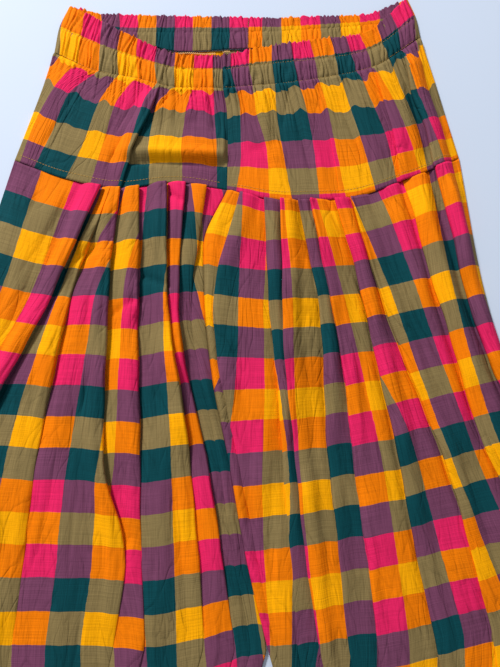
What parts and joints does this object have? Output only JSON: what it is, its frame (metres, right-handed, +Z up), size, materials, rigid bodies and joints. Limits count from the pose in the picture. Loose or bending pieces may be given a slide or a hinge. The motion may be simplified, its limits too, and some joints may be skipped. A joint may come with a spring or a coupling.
{
  "type": "salwar trousers, laid flat",
  "caption": "Checked cotton salwar trousers laid flat, with an elastic-gathered waist, a hip yoke and wide legs pleated into it.",
  "frame": {"origin": "bottom centre of the bounding box, on the surface that the trousers lie on", "axes": "+Y up the garment from the ankles to the waist, +X to the right of the picture, +Z up out of the front"},
  "size_m": [0.702, 1.0119, 0.0166],
  "materials": {
    "checked_cotton": "matt plain-weave cotton in a yellow, pink and teal yarn-dyed check",
    "thread": "mustard cotton topstitching"
  },
  "bodies": {
    "root": {"waistband_left": "checked_cotton", "waistband_right": "checked_cotton", "yoke_left": "checked_cotton", "yoke_right": "checked_cotton", "leg_left": "checked_cotton", "leg_right": "checked_cotton", "cuff_left": "checked_cotton", "cuff_right": "checked_cotton"}
  },
  "joints": []
}
